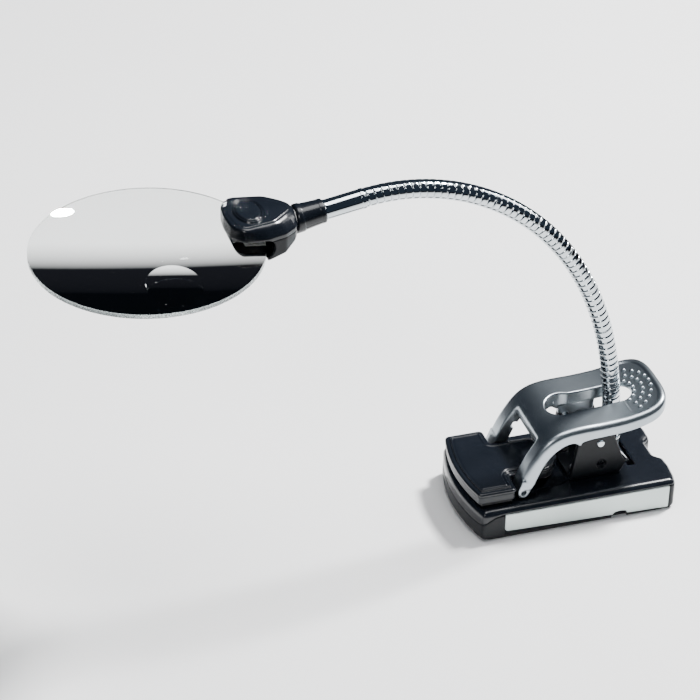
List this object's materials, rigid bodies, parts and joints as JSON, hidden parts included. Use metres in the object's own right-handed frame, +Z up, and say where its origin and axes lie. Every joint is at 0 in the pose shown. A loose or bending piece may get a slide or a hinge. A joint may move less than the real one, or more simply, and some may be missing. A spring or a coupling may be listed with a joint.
{
  "type": "magnifying lamp",
  "caption": "Clip-on magnifying lamp: rimless round lens with a small bifocal inset, a lit head on a goose-neck, and a battery base with a sprung clamp lever.",
  "frame": {"origin": "centre of the base's footprint, on the underside of the rubber mat", "axes": "+Z up from the table, +X along the base towards the paddle of the lever, away from the jaw and the lens; the bifocal inset is on the -Y side of the lens"},
  "size_m": [0.3237, 0.11, 0.1992],
  "materials": {
    "black_gloss": "glossy",
    "black_satin": "satin",
    "dark_satin": "satin",
    "silver": "satin metallic paint",
    "chrome": "polished",
    "spring_wire": "bright",
    "steel": "plain",
    "rubber": "matt",
    "clear": "clear, polished",
    "window": "frosted",
    "cell": "printed sleeve",
    "board": "satin",
    "white_board": "satin",
    "led": "satin"
  },
  "bodies": {
    "base": {"base_cover": "black_gloss", "base_tray": "black_satin", "side_trim_left": "silver", "side_trim_right": "silver", "rubber_foot": "rubber", "batteries": "cell", "battery_contacts": "steel", "driver_board": "board", "counterweight": "steel", "base_screws": "steel", "lower_jaw_pad": "rubber", "pivot_bracket": "black_satin", "bracket_screws": "steel", "pivot_pin": "chrome", "torsion_spring": "spring_wire", "neck_socket": "chrome", "socket_nut": "steel"},
    "door": {"battery_door": "black_satin"},
    "lever": {"lever": "silver", "spring_legs": "spring_wire"},
    "jaw": {"jaw_cover": "black_gloss", "jaw_frame": "dark_satin", "upper_jaw_pad": "rubber", "jaw_pins": "steel"},
    "neck_1": {"neck_segment_1": "chrome"},
    "neck_2": {"neck_segment_2": "chrome"},
    "neck_3": {"neck_segment_3": "chrome"},
    "neck_4": {"neck_segment_4": "chrome"},
    "neck_5": {"neck_segment_5": "chrome"},
    "neck_6": {"neck_segment_6": "chrome"},
    "neck_7": {"neck_segment_7": "chrome"},
    "neck_8": {"neck_segment_8": "chrome"},
    "head": {"neck_segment_9": "chrome", "head_ferrule": "chrome", "head_collar": "black_gloss", "head_upper_shell": "black_gloss", "head_lower_shell": "black_satin", "lens": "clear", "button_switch": "black_satin", "led_board": "white_board", "leds": "led", "led_window": "window", "head_screws": "steel"},
    "button": {"power_button": "black_gloss"}
  },
  "joints": [
    {"name": "lever_pivot", "type": "hinge", "parent": "base", "child": "lever", "pos_m": [0.0167, 0, 0.0377], "axis": [0, 1, 0], "range_deg": [0, 28], "stiffness_Nm_per_rad": 0.5, "springref_deg": -17.19},
    {"name": "jaw_hinge", "type": "hinge", "parent": "lever", "child": "jaw", "pos_m": [-0.0268, 0, 0.0211], "axis": [0, 1, 0], "range_deg": [-28, 0]},
    {"name": "battery_door", "type": "slide", "parent": "base", "child": "door", "axis": [-1, 0, 0], "range_m": [0, 0.04]},
    {"name": "lower_bend", "type": "hinge", "parent": "base", "child": "neck_1", "pos_m": [0.0284, 0, 0.031], "axis": [0, -1, 0], "range_deg": [-8, 5]},
    {"name": "side_bend", "type": "hinge", "parent": "neck_1", "child": "neck_2", "pos_m": [0.02711, 0, 0.05786], "axis": [0.9954, 0, 0.0958], "range_deg": [-8, 8]},
    {"name": "lower_bend_2", "type": "hinge", "parent": "neck_2", "child": "neck_3", "pos_m": [0.02293, 0, 0.08442], "axis": [0, -1, 0], "range_deg": [-8, 5]},
    {"name": "lower_bend_3", "type": "hinge", "parent": "neck_3", "child": "neck_4", "pos_m": [0.01527, 0, 0.11018], "axis": [0, -1, 0], "range_deg": [-8, 5]},
    {"name": "side_bend_2", "type": "hinge", "parent": "neck_4", "child": "neck_5", "pos_m": [0.00368, 0, 0.13442], "axis": [0.8625, 0, 0.506], "range_deg": [-8, 8]},
    {"name": "upper_bend", "type": "hinge", "parent": "neck_5", "child": "neck_6", "pos_m": [-0.01208, 0, 0.15616], "axis": [0, -1, 0], "range_deg": [-10, 4]},
    {"name": "upper_bend_2", "type": "hinge", "parent": "neck_6", "child": "neck_7", "pos_m": [-0.03196, 0, 0.17421], "axis": [0, -1, 0], "range_deg": [-10, 4]},
    {"name": "side_bend_3", "type": "hinge", "parent": "neck_7", "child": "neck_8", "pos_m": [-0.05541, 0, 0.18724], "axis": [0.3762, 0, 0.9265], "range_deg": [-8, 8]},
    {"name": "upper_bend_3", "type": "hinge", "parent": "neck_8", "child": "head", "pos_m": [-0.08139, 0, 0.19393], "axis": [0, -1, 0], "range_deg": [-10, 4]},
    {"name": "power_button", "type": "slide", "parent": "head", "child": "button", "axis": [0, 0, -1], "range_m": [0, 0.0008], "stiffness_N_per_m": 150, "springref_m": -0.002}
  ],
  "couplings": [
    {"joint": "jaw_hinge", "follows": "lever_pivot", "ratio": -1},
    {"joint": "lower_bend_2", "follows": "lower_bend", "ratio": 1},
    {"joint": "lower_bend_3", "follows": "lower_bend", "ratio": 1},
    {"joint": "side_bend_2", "follows": "side_bend", "ratio": 1},
    {"joint": "upper_bend_2", "follows": "upper_bend", "ratio": 1},
    {"joint": "side_bend_3", "follows": "side_bend", "ratio": 1},
    {"joint": "upper_bend_3", "follows": "upper_bend", "ratio": 1}
  ]
}
